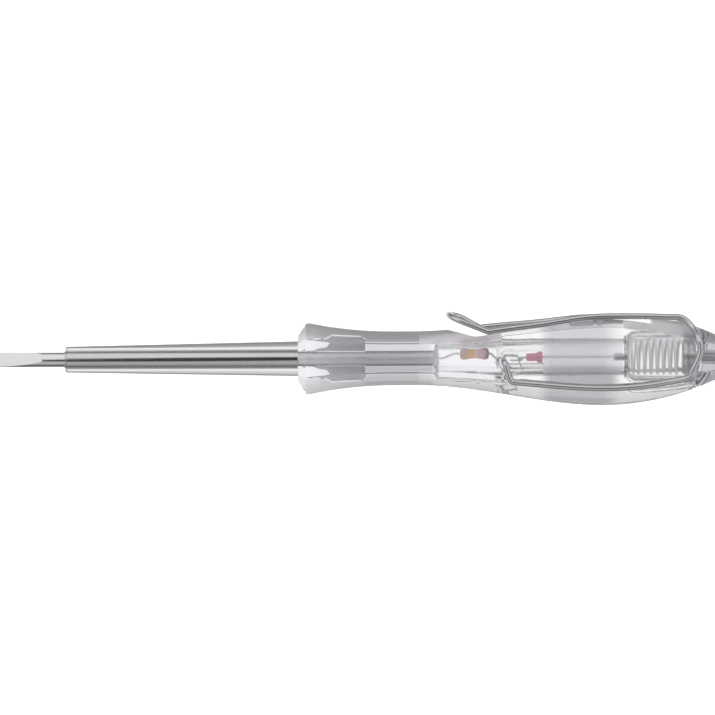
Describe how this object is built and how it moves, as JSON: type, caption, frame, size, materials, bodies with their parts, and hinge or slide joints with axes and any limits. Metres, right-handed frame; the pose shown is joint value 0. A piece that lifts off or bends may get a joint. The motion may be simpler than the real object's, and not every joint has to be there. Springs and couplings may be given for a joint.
{
  "type": "voltage tester screwdriver",
  "caption": "Slim slotted screwdriver with an insulated blade, a clear hexagonal handle holding a glow-lamp test circuit, a touch cap and a bent-wire pocket clip.",
  "frame": {"origin": "centre of the blade's flat tip edge", "axes": "+X runs from the tip along the tool's axis to the touch cap, +Y points to the pocket clip, +Z points out of one of the two broad side flats"},
  "size_m": [0.1477, 0.0189, 0.0148],
  "materials": {
    "blade_steel": "satin nickel-plated steel, ground on the flat tip",
    "sleeve_plastic": "clear polished plastic",
    "clear_plastic": "clear polished plastic",
    "nickel_plate": "bright nickel plate",
    "spring_wire": "drawn spring wire",
    "tinned_copper": "tinned metal",
    "lamp_glass": "thin clear lamp glass",
    "resistor_lacquer": "tan resistor lacquer",
    "bead_red": "glossy red bead"
  },
  "bodies": {
    "handle": {"blade": "blade_steel", "blade_sleeve": "sleeve_plastic", "handle_body": "clear_plastic", "end_plug": "clear_plastic", "resistor_front_lead": "tinned_copper", "resistor_front_cap": "tinned_copper", "resistor_body": "resistor_lacquer", "resistor_rear_cap": "tinned_copper", "resistor_rear_lead": "tinned_copper", "lamp_glass": "lamp_glass", "lamp_front_electrode": "tinned_copper", "lamp_rear_electrode": "tinned_copper", "lamp_bead": "bead_red", "contact_spring": "spring_wire", "contact_stud": "nickel_plate", "touch_cap": "nickel_plate", "clip_arm_near": "spring_wire", "clip_arm_far": "spring_wire"},
    "clip": {"clip_legs": "spring_wire"},
    "plunger": {"contact_plunger": "nickel_plate"}
  },
  "joints": [
    {"name": "clip_flex", "type": "hinge", "parent": "handle", "child": "clip", "pos_m": [0.1366, 0.0078, 0], "axis": [0, 0, -1], "range_deg": [0, 5], "stiffness_Nm_per_rad": 0.6, "springref_deg": -2.86},
    {"name": "plunger_slide", "type": "slide", "parent": "handle", "child": "plunger", "axis": [1, 0, 0], "range_m": [0, 0.0012], "stiffness_N_per_m": 380, "springref_m": -0.0015, "deforming": ["contact_spring"]}
  ]
}
